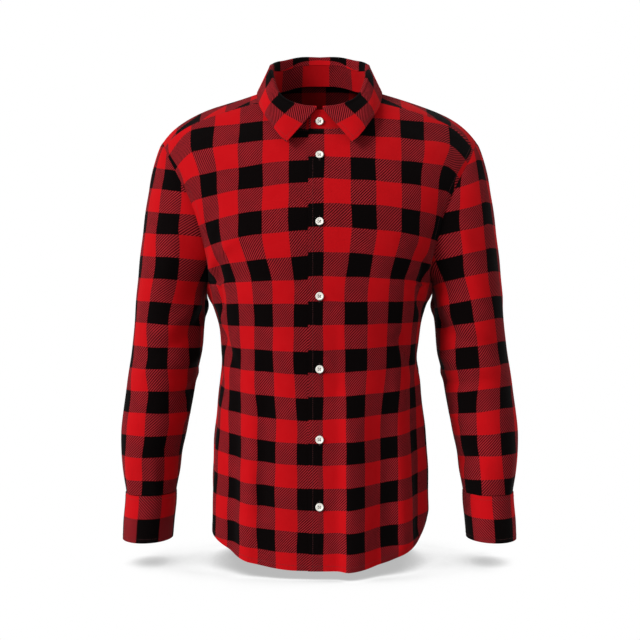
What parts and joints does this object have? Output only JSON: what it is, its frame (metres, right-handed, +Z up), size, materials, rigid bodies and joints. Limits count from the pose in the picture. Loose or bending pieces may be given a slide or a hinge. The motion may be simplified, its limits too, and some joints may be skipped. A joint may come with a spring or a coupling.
{
  "type": "flannel shirt",
  "caption": "Long-sleeved button-front shirt in buffalo-check flannel, filled out as if worn, with a turned-down collar, back yoke, lapped cuffs and a curved shirt-tail hem.",
  "frame": {"origin": "midway between the sides of the neck at the height of the shoulders, where the wearer holds the shirt up", "axes": "+Z up, the front of the shirt faces -Y, the wearer's left is +X"},
  "size_m": [0.5906, 0.2571, 0.7651],
  "materials": {
    "flannel": "red and black buffalo check in brushed twill, matt",
    "button": "cream, polished"
  },
  "bodies": {
    "root": {"front_left": "flannel", "front_right": "flannel", "back": "flannel", "yoke": "flannel", "sleeve_left": "flannel", "sleeve_right": "flannel", "sleeve_placket_left": "flannel", "sleeve_placket_right": "flannel", "cuff_left": "flannel", "cuff_right": "flannel", "collar_stand": "flannel", "collar": "flannel", "button_1": "button", "button_2": "button", "button_3": "button", "button_4": "button", "button_5": "button", "button_6": "button", "button_7": "button", "button_cuff_left": "button", "button_cuff_right": "button"}
  },
  "joints": []
}
